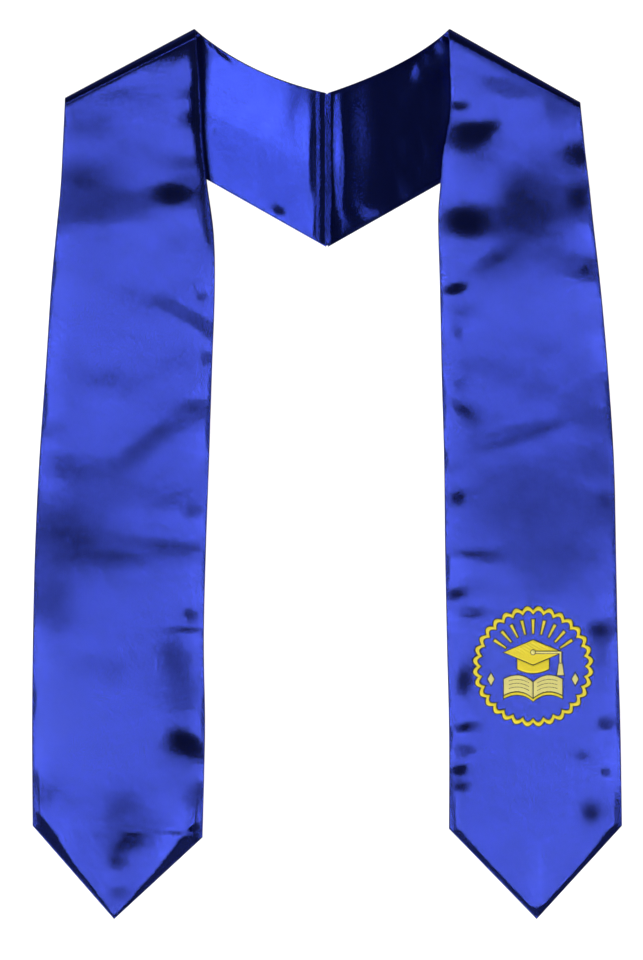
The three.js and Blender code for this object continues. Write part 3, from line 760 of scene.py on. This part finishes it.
def border_ring(inset):
    """One scalloped outline of the border."""
    share = np.arange(SCALLOPS * SCALLOP_STEPS) / SCALLOP_STEPS
    bulge = np.sin(math.pi * (share % 1))
    radius = BADGE_DIAMETER / 2 - inset - SCALLOP_DEPTH * (1 - bulge)
    angle = 2 * math.pi * share / SCALLOPS
    return np.stack([radius * np.cos(angle), radius * np.sin(angle)], -1)


def cap_motifs():
    half, tall = BOARD[0] / 2, BOARD[1] / 2
    board = [(-half, BOARD_RISE), (0, BOARD_RISE - tall), (half, BOARD_RISE), (0, BOARD_RISE + tall)]
    side = CROWN[0] / 2
    top = BOARD_RISE - tall - MOTIF_GAP
    shoulder = top + tall * side / half
    foot = shoulder - CROWN[1]
    crown = [(side, shoulder), (0, top), (-side, shoulder)]
    crown += arc((-side, foot), (0, foot - 2 * CROWN_SAG), (side, foot))
    turn = np.linspace(0, 2 * math.pi, BUTTON_CORNERS, endpoint=False)
    button = np.stack([BUTTON_RADIUS * np.cos(turn), BOARD_RISE + BUTTON_RADIUS * np.sin(turn)], -1)
    out, start = half - CORD_WIDTH, BUTTON_RADIUS + MOTIF_GAP / 2
    w = CORD_WIDTH / 2
    low, high, end = BOARD_RISE - w, BOARD_RISE + w, BOARD_RISE - CORD_DROP
    lay = [(start, low), (out - w, low), (out - w, high), (start, high)]
    drop = [(out - w, end), (out + w, end), (out + w, high), (out - w, high)]
    cord = lay[:2] + drop[:3] + lay[3:]
    neck = end - MOTIF_GAP / 2
    tassel = [
        (out - TASSEL[0] / 4, neck), (out - TASSEL[0] / 2, neck - TASSEL[1]),
        (out + TASSEL[0] / 2, neck - TASSEL[1]), (out + TASSEL[0] / 4, neck),
    ]
    return board, crown, button, (cord, lay, drop), tassel


def page_curve(side, height, start=0, steps=14):
    """How a page rises at a height, from a start near the book's middle to its outer edge."""
    half = BOOK[0] / 2
    pull = (side * half * PAGE_PULL, height + 2 * PAGE_RISE)
    return arc((side * start, height), pull, (side * half, height + PAGE_RISE / 2), steps)


def page(side):
    low, high = (page_curve(side, height, MOTIF_GAP / 2) for height in (-BOOK_DROP, BOOK[1] - BOOK_DROP))
    return low + high[::-1]


def cover():
    """Outline of the cover under the pages, and of its two halves."""
    left, right = (page_curve(side, -BOOK_DROP - MOTIF_GAP) for side in (-1, 1))
    left = left[::-1]
    shapes = []
    for upper in (left + right[1:], left, right):
        shapes.append(upper + [(x, y - COVER_THICKNESS) for x, y in upper[::-1]])
    return shapes


def page_lines(side):
    """Dark stitches along the page."""
    stitches = []
    for share in PAGE_LINES:
        line = page_curve(side, share * BOOK[1] - BOOK_DROP, steps=LINE_STITCHES)[LINE_ENDS:-LINE_ENDS]
        for a, b in zip(line[:-1], line[1:]):
            gap = (b - a) * LINE_GAP
            stitches.append((a + gap, b - gap))
    return np.array(stitches)


def turned_axes(angle):
    """The x and y axes turned by an angle, as rows."""
    return np.array([[math.cos(angle), math.sin(angle)], [-math.sin(angle), math.cos(angle)]])


def ray(index):
    """A ray's outline and the way that it points."""
    radius = BADGE_DIAMETER / 2
    angle = math.radians(90 + RAY_SPREAD / 2 - RAY_SPREAD * index / (RAYS - 1))
    near, far = (share * radius for share in RAY_REACH)
    thin, wide = RAY_WIDTH / 4, RAY_WIDTH / 2
    flat = np.array([(near, -thin), (far, -wide), (far, wide), (near, thin)])
    return flat @ turned_axes(angle), math.degrees(angle)


def lozenge(side):
    x, y = side * LOZENGE_OUT * BADGE_DIAMETER / 2, -LOZENGE_DROP
    wide, tall = LOZENGE[0] / 2, LOZENGE[1] / 2
    return [(x - wide, y), (x, y - tall), (x + wide, y), (x, y + tall)]


MOST_BREAKS = 40
BREAK_SHIFT = 0.37  # stitches by which the breaks move from row to row
LEAST_PART = 0.3  # of the longest stitch


def stitches_across(outline, turn, pitch, longest):
    """Stitches that fill an outline in rows, as start and end points. turn: degrees of the rows."""
    axes = turned_axes(math.radians(turn))
    corners = np.asarray(outline, float) @ axes.T
    nexts = np.roll(corners, -1, axis=0)
    stitches = []
    for row, level in enumerate(np.arange(corners[:, 1].min() + pitch / 2, corners[:, 1].max(), pitch)):
        crossed = (corners[:, 1] > level) != (nexts[:, 1] > level)
        (u, v), (w, z) = corners[crossed].T, nexts[crossed].T
        ends = np.sort(u + (level - v) / (z - v) * (w - u))
        for start, end in ends.reshape(-1, 2):
            cuts = start + longest * (np.arange(1, MOST_BREAKS) - (row * BREAK_SHIFT) % 1)
            cuts = cuts[(cuts > start + longest * LEAST_PART) & (cuts < end - longest * LEAST_PART)]
            runs = [start, *cuts, end]
            stitches += [((a, level), (b, level)) for a, b in zip(runs, runs[1:]) if b - a > pitch]
    return np.array(stitches) @ axes


def stitches_round(pitch):
    """Stitches from the inner to the outer outline of the border."""
    outer, inner = border_ring(0), border_ring(BORDER_WIDTH)
    count = int(math.pi * BADGE_DIAMETER / pitch)
    at = np.linspace(0, len(outer), count, endpoint=False)
    step = np.arange(len(outer) + 1)
    ends = []
    for ring in (inner, outer):
        closed = np.concatenate([ring, ring[:1]])
        ends.append(np.stack([np.interp(at, step, closed[:, i]) for i in (0, 1)], -1))
    return np.stack(ends, 1)


SIDES = 5


def tube_faces(rings, closed):
    """Faces of a tube of rings of points, its first point at index 0."""
    faces = []
    for i in range(rings if closed else rings - 1):
        near, far = i * SIDES, (i + 1) % rings * SIDES
        faces += [(near + j, near + (j + 1) % SIDES, far + (j + 1) % SIDES, far + j) for j in range(SIDES)]
    if not closed:
        faces += [tuple(range(SIDES))[::-1], tuple((rings - 1) * SIDES + j for j in range(SIDES))]
    return faces


def rings_round(middles, across, radii):
    """Points of rings round middles, upright and across the way that a thread runs."""
    turn = 2 * math.pi * (np.arange(SIDES) + 0.25) / SIDES
    flat = across[..., None, :] * np.cos(turn)[:, None]
    up = np.array([0, 0, 1.0]) * np.sin(turn)[:, None]
    return middles[..., None, :] + (flat + up) * radii[..., None, None]


# The five rings of a stitch, from end to end: shares of its height and of its width
ARCH = (0, 0.78, 1, 0.78, 0)
TAPER = (0.5, 0.9, 1, 0.9, 0.5)
RAMP = (0.3, 0.55)  # of a stitch's length at most, and in millimetres
# What one thread differs from the next by: length, height, both in millimetres, and share of its width
LENGTH_SPREAD = 0.12
HEIGHT_SPREAD = 0.05
WIDTH_SPREAD = (0.9, 1.08)


def thread_tubes(stitches, radius, low, high, seed):
    """An arched tube for each stitch: points and faces."""
    dice = np.random.default_rng(seed)
    start, end = stitches[:, 0], stitches[:, 1]
    run = end - start
    length = np.hypot(*run.T)[:, None]
    ramp = np.minimum(RAMP[0], RAMP[1] / length)
    share = np.concatenate([0 * ramp, ramp, 0.5 + 0 * ramp, 1 - ramp, 1 + 0 * ramp], 1)
    share[:, 0] -= dice.uniform(0, LENGTH_SPREAD, len(run)) / length[:, 0]
    share[:, -1] += dice.uniform(0, LENGTH_SPREAD, len(run)) / length[:, 0]
    plan = start[:, None] + run[:, None] * share[..., None]
    lift = np.array(ARCH) * (high - low) + low
    lift = lift + dice.uniform(-HEIGHT_SPREAD, HEIGHT_SPREAD, (len(run), 1))
    middles = np.concatenate([plan, lift[..., None]], -1)
    across = np.stack([-run[:, 1], run[:, 0], 0 * run[:, 0]], -1) / length
    radii = radius * np.array(TAPER) * dice.uniform(*WIDTH_SPREAD, (len(run), 1))
    rings = len(ARCH)
    points = rings_round(middles, np.repeat(across[:, None], rings, 1), radii).reshape(-1, 3)
    pattern = tube_faces(rings, False)
    faces = [tuple(i + n * rings * SIDES for i in face) for n in range(len(run)) for face in pattern]
    return points, faces


SHARPEST_MITRE = 0.5  # cosine of the turn past which a corner's thread is cut short


def edging_tube(outline, radius, height, out):
    """A closed thread that runs just outside an outline: points and faces."""
    line = np.asarray(outline, float)
    before, after = line - np.roll(line, 1, axis=0), np.roll(line, -1, axis=0) - line
    before, after = (v / np.hypot(*v.T)[:, None] for v in (before, after))
    area = np.sum(line[:, 0] * np.roll(line[:, 1], -1) - np.roll(line[:, 0], -1) * line[:, 1])
    along = before + after
    along /= np.hypot(*along.T)[:, None]
    away = np.stack([along[:, 1], -along[:, 0]], -1) * np.sign(area)
    mitre = 1 / np.maximum(np.sum(along * after, 1), SHARPEST_MITRE)[:, None]
    middles = np.concatenate([line + away * mitre * out, np.full((len(line), 1), height)], 1)
    across = np.concatenate([away * mitre, np.zeros((len(line), 1))], 1)
    if area > 0:
        across = -across
    points = rings_round(middles, across, np.full(len(line), radius)).reshape(-1, 3)
    return points, tube_faces(len(line), True)


THREAD_CREASE = math.radians(50)
LINE_WIDTH = 1.2  # share of a thread's width
LINE_SEED = 5


def pad(name, outlines, ground):
    """The raised ground of a motif, a plate within one outline or a ring between two."""
    mesh = bpy.data.meshes.new(name)
    corners = [(x, y, ground - PAD_SINK) for outline in outlines for x, y in outline]
    count = len(outlines[0])
    if len(outlines) == 1:
        mesh.from_pydata(corners, [], [tuple(range(count))])
    else:
        loops = [[(k * count + i, k * count + (i + 1) % count) for i in range(count)] for k in (0, 1)]
        mesh.from_pydata(corners, loops[0] + loops[1], [])
    piece = linked(name, mesh)
    select_only(piece)
    bpy.ops.object.mode_set(mode="EDIT")
    bpy.ops.mesh.select_all(action="SELECT")
    if len(outlines) > 1:
        bpy.ops.mesh.bridge_edge_loops()
    rise = PAD_TOP + PAD_SINK - PAD_INSET / 2
    bpy.ops.mesh.extrude_region_move(TRANSFORM_OT_translate={"value": (0, 0, rise)})
    bpy.ops.mesh.inset(thickness=PAD_INSET, depth=0)
    bpy.ops.transform.translate(value=(0, 0, PAD_INSET / 2))
    bpy.ops.mesh.select_all(action="SELECT")
    bpy.ops.mesh.normals_make_consistent(inside=False)
    bpy.ops.object.mode_set(mode="OBJECT")
    return piece


def embroidered(name, outlines, stitches, look, slot, settings, level=0, lines=None):
    """One embroidered motif: a pad under its stitches, dark edging threads whose near-black colour is partly
    painted shade round the motif, and dark lines on top.
    """
    ground = (STACK + BADGE_PUFF) / MM + level * LEVEL_STEP
    low, high = ground + STITCH_ENDS, ground + STITCH_TOPS
    radius = settings.thread_width / MM / 2
    piece = pad(name, outlines, ground)
    parts = [(*thread_tubes(stitches, radius, low, high, len(stitches)), 0.0)]
    edge = settings.edging_width / MM / 2
    # The edging threads round the motif take the near-black colour, which is partly painted shade at its
    # edge.
    for outline, out in zip(outlines, (edge, -edge)):
        parts.append((*edging_tube(outline, edge, low - edge * level, out * (1 - level / 2)), 1.0))
    if lines is not None:
        tubes = thread_tubes(lines, radius * LINE_WIDTH, high - radius / 2, high + radius, LINE_SEED)
        parts.append((*tubes, 1.0))
    for points, faces, dark in parts:
        mesh = bpy.data.meshes.new(name)
        mesh.from_pydata(points.tolist(), [], faces)
        mesh.attributes.new(DARK_THREAD_AND_EDGE_SHADE, "FLOAT", "POINT").data.foreach_set("value", np.full(len(points), dark))
        linked(name, mesh).select_set(True)
    bpy.ops.object.join()
    piece.data.materials.clear()
    piece.data.materials.append(look)
    piece.data.transform(Matrix.Translation((*badge_middle(), 0)) @ Matrix.Scale(MM, 4))
    bpy.ops.object.shade_smooth_by_angle(angle=THREAD_CREASE)
    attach(piece, BODY)
    return piece


def length_property(name, description, default, least=0):
    return bpy.props.FloatProperty(
        name=name, description=description, default=default, min=least, unit="LENGTH")


def colour_property(name, description, default):
    return bpy.props.FloatVectorProperty(
        name=name, description=description, subtype="COLOR", size=3, default=default, min=0, max=1)


class StoleCloth(bpy.types.PropertyGroup):
    """Sizes and colours of the satin."""

    panel_puff: length_property("Panel puff", "Air under the face cloth of a front panel", 2.8 * MM)
    neck_puff: length_property("Neck puff", "Air under the lining at the back of the neck", NECK_PUFF)
    end_fall: length_property(
        "End fall", "Width over which the cloth rises on from the seams of the point", 45 * MM, 1 * MM)
    wall: length_property("Wall", "Thickness of one cloth", 0.4 * MM, 0.1 * MM)
    face_colour: colour_property("Face satin", "Colour of the face satin", (0.03, 0.046, 0.31))
    lining_colour: colour_property("Lining satin", "Colour of the lining satin", (0.03, 0.05, 0.375))


class StoleBadge(bpy.types.PropertyGroup):
    """Sizes and colours of the embroidery."""

    thread_width: length_property("Thread width", "Width of one thread", 0.5 * MM, 0.1 * MM)
    thread_pitch: length_property("Thread pitch", "From one stitch to the next", 0.42 * MM, 0.1 * MM)
    # The edging is a real outline thread, but its near-black colour is partly painted shade round each motif.
    edging_width: length_property(
        "Edging width", "Width of the dark thread round each motif", 0.85 * MM, 0.1 * MM)
    longest_stitch: length_property(
        "Longest stitch", "Length past which a row is broken into stitches", 4.6 * MM, 1 * MM)
    gold: colour_property("Gold thread", "Colour of the gold thread", (1.0, 0.85, 0.06))
    pale: colour_property("Pale thread", "Colour of the pale thread", (0.95, 0.88, 0.33))
    # Near-black thread for the page lines and the edging; in the edging this colour is partly painted shade
    # round each motif.
    edging: colour_property("Edging thread", "Colour of the thread round each motif", (0.006, 0.006, 0.02))


class StoleStage(bpy.types.PropertyGroup):
    """Camera and light."""

    camera_height: length_property("Camera height", "Height of the camera over the floor", 12)
    view_height: length_property("View height", "Height of what the picture shows", PICTURE[1] * PX)


def cloth_halves(context, part, weave, surface, flip=False):
    """Makes the face cloth or the lining of both halves."""
    cloth = context.scene.stole_cloth
    look = satin(f"{part} satin", getattr(cloth, f"{part}_colour"), weave)
    for name in HALVES:
        strip = Strip(name)
        spot, uv, skew = surface(strip, cloth)
        piece = cloth_piece(f"{name}_{part}_satin", spot, uv, skew, strip.side, look, cloth.wall, flip)
        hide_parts(f"{name}_{part}")


class STOLE_OT_face_cloth(bpy.types.Operator):
    """Makes the face cloth of both halves"""

    bl_idname = "stole.face_cloth"
    bl_label = "Face cloth"

    def execute(self, context):
        cloth_halves(context, "face", FACE_WEAVE, face_surface)
        return {"FINISHED"}


class STOLE_OT_lining(bpy.types.Operator):
    """Makes the lining of both halves"""

    bl_idname = "stole.lining"
    bl_label = "Lining"

    def execute(self, context):
        cloth_halves(context, "lining", LINING_WEAVE, lining_surface, flip=True)
        return {"FINISHED"}


class STOLE_OT_seam(bpy.types.Operator):
    """Makes the seam at the back of the neck"""

    bl_idname = "stole.seam"
    bl_label = "Seam"

    def execute(self, context):
        cloth = context.scene.stole_cloth
        look = satin("seam satin", cloth.lining_colour, SEAM_WEAVE)
        spot, uv, turn = seam_surface()
        piece = cloth_piece("centre_seam_ridge", spot, uv, turn, 1, look, cloth.wall)
        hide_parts("centre_seam")
        return {"FINISHED"}


def badge_looks(badge):
    """The two threads' materials, made once."""
    looks = {}
    for slot, thread in (("gold_thread", badge.gold), ("pale_thread", badge.pale)):
        name = slot.replace("_", " ")
        looks[slot] = bpy.data.materials.get(name) or thread_look(name, thread, badge.edging)
    return looks


def stitch_motifs(context, motifs):
    """Makes motifs of node, outline, slot, level, stitched shapes with the turn of their rows, and lines."""
    badge = context.scene.stole_badge
    looks = badge_looks(badge)
    pitch, longest = badge.thread_pitch / MM, badge.longest_stitch / MM
    for node, outline, slot, level, fills, *lines in motifs:
        stitches = np.concatenate([stitches_across(shape, turn, pitch, longest) for shape, turn in fills])
        piece = embroidered(f"{node}_threads", [outline], stitches, looks[slot], slot, badge, level, *lines)
        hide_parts(node)


class STOLE_OT_badge_border(bpy.types.Operator):
    """Stitches the scalloped border"""

    bl_idname = "stole.badge_border"
    bl_label = "Badge border"

    def execute(self, context):
        badge = context.scene.stole_badge
        look = badge_looks(badge)["gold_thread"]
        outlines = [border_ring(0), border_ring(BORDER_WIDTH)]
        stitches = stitches_round(badge.thread_pitch / MM)
        piece = embroidered("badge_border_threads", outlines, stitches, look, "gold_thread", badge)
        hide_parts("badge_border")
        return {"FINISHED"}


class STOLE_OT_cap(bpy.types.Operator):
    """Stitches the cap with its button and tassel"""

    bl_idname = "stole.cap"
    bl_label = "Cap"

    def execute(self, context):
        board, crown, button, (cord, lay, drop), tassel = cap_motifs()
        stitch_motifs(context, (
            ("cap_board", board, "gold_thread", 0, [(board, 0)]),
            ("cap_crown", crown, "gold_thread", 0, [(crown, 90)]),
            ("cap_button", button, "pale_thread", 1, [(button, 30)]),
            ("tassel_cord", cord, "pale_thread", 1, [(lay, 90), (drop, 0)]),
            ("tassel", tassel, "pale_thread", 0, [(tassel, 90)]),
        ))
        return {"FINISHED"}


class STOLE_OT_book(bpy.types.Operator):
    """Stitches the open book"""

    bl_idname = "stole.book"
    bl_label = "Book"

    def execute(self, context):
        outline, left, right = cover()
        pages = [page(side) for side in (-1, 1)]
        stitch_motifs(context, (
            ("book_left", pages[0], "pale_thread", 0, [(pages[0], -6)], page_lines(-1)),
            ("book_right", pages[1], "pale_thread", 0, [(pages[1], 6)], page_lines(1)),
            ("book_cover", outline, "gold_thread", 0, [(left, 80), (right, 100)]),
        ))
        return {"FINISHED"}


class STOLE_OT_rays(bpy.types.Operator):
    """Stitches the rays over the cap"""

    bl_idname = "stole.rays"
    bl_label = "Rays"

    def execute(self, context):
        motifs = []
        for index in range(RAYS):
            outline, angle = ray(index)
            motifs.append((f"ray_{index + 1}", outline, "gold_thread", 0, [(outline, angle + 90)]))
        stitch_motifs(context, motifs)
        return {"FINISHED"}


class STOLE_OT_lozenges(bpy.types.Operator):
    """Stitches the two lozenges"""

    bl_idname = "stole.lozenges"
    bl_label = "Lozenges"

    def execute(self, context):
        for name, side in (("left", -1), ("right", 1)):
            outline = lozenge(side)
            stitch_motifs(context, [(f"lozenge_{name}", outline, "pale_thread", 0, [(outline, 0)])])
        return {"FINISHED"}


class STOLE_OT_stage(bpy.types.Operator):
    """Sets the floor, the lights and the camera"""

    bl_idname = "stole.stage"
    bl_label = "Stage"

    def execute(self, context):
        stage = context.scene.stole_stage
        bpy.ops.object.select_all(action="DESELECT")
        bpy.ops.mesh.primitive_circle_add(
            vertices=FLOOR_CORNERS, radius=FLOOR_RADIUS, fill_type="NGON", location=(0, 0, -FLOOR_DROP))
        floor = context.object
        floor.name = "floor"
        look = Look("floor", Roughness=0.9)
        seen = look.node("ShaderNodeLightPath").outputs["Is Camera Ray"]
        glow = {"Base Color": FLOOR_GREY, "Emission Color": WHITE, "Emission Strength": seen}
        look.feed(look.shader, glow)
        floor.data.materials.append(look.material)
        world = bpy.data.worlds.new("room")
        world.use_nodes = True
        room = Nodes(world.node_tree)
        seen = room.node("ShaderNodeLightPath").outputs["Is Camera Ray"]
        way = room.node("ShaderNodeTexCoord").outputs["Generated"]
        rise = room.node("ShaderNodeSeparateXYZ", None, way).outputs["Z"]
        ends = dict(zip(("From Min", "From Max", "To Min", "To Max"), (*WALL_FADE, *WALL_LIGHT)))
        walls = room.node("ShaderNodeMapRange", {"interpolation_type": "SMOOTHSTEP"}, rise, **ends)
        strength = room.math("MAXIMUM", seen, walls.outputs[0])
        room.feed(room.tree.nodes["Background"], {"Color": WHITE, "Strength": strength})
        context.scene.world = world
        for name, direction, size, power in SOFTBOXES:
            bpy.ops.object.light_add(type="AREA", location=Vector(direction).normalized() * SOFTBOX_DISTANCE)
            lamp = context.object
            lamp.name = name
            lamp.data.shape = "RECTANGLE"
            lamp.data.size, lamp.data.size_y = size
            lamp.data.energy = power
            lamp.rotation_euler = Vector(direction).to_track_quat("Z", "Y").to_euler()
        x, y = (PICTURE[0] / 2 - SEAM_PX) * PX, (MIDDLE_PX - PICTURE[1] / 2) * PX
        bpy.ops.object.camera_add(location=(x, y, stage.camera_height), rotation=(0, 0, 0))
        camera = context.object
        camera.data.sensor_width = SENSOR
        camera.data.lens = SENSOR * stage.camera_height / stage.view_height
        context.scene.camera = camera
        context.scene.view_settings.view_transform = "Standard"
        return {"FINISHED"}


class STOLE_PT_panel(bpy.types.Panel):
    """Lists the stole's sizes and steps"""

    bl_idname = "STOLE_PT_panel"
    bl_label = "Stole"
    bl_space_type = "VIEW_3D"
    bl_region_type = "UI"
    bl_category = "Stole"

    def draw(self, context):
        for name, kind in GROUPS.items():
            for key in kind.__annotations__:
                self.layout.prop(getattr(context.scene, name), key)
        for operator in OPERATORS:
            self.layout.operator(operator.bl_idname)


GROUPS = {"stole_cloth": StoleCloth, "stole_badge": StoleBadge, "stole_stage": StoleStage}
OPERATORS = (
    STOLE_OT_face_cloth, STOLE_OT_lining, STOLE_OT_seam, STOLE_OT_badge_border, STOLE_OT_cap, STOLE_OT_book,
    STOLE_OT_rays, STOLE_OT_lozenges, STOLE_OT_stage,
)


def register():
    for group in (*GROUPS.values(), *OPERATORS, STOLE_PT_panel):
        bpy.utils.register_class(group)
    for key, group in GROUPS.items():
        setattr(bpy.types.Scene, key, bpy.props.PointerProperty(type=group))


def unregister():
    for key in GROUPS:
        delattr(bpy.types.Scene, key)
    for group in (STOLE_PT_panel, *reversed(OPERATORS), *reversed(GROUPS.values())):
        bpy.utils.unregister_class(group)


def main():
    register()
    bpy.ops.stole.face_cloth()
    bpy.ops.stole.lining()
    bpy.ops.stole.seam()
    bpy.ops.stole.badge_border()
    bpy.ops.stole.cap()
    bpy.ops.stole.book()
    bpy.ops.stole.rays()
    bpy.ops.stole.lozenges()
    bpy.ops.stole.stage()


if __name__ == "__main__":
    main()
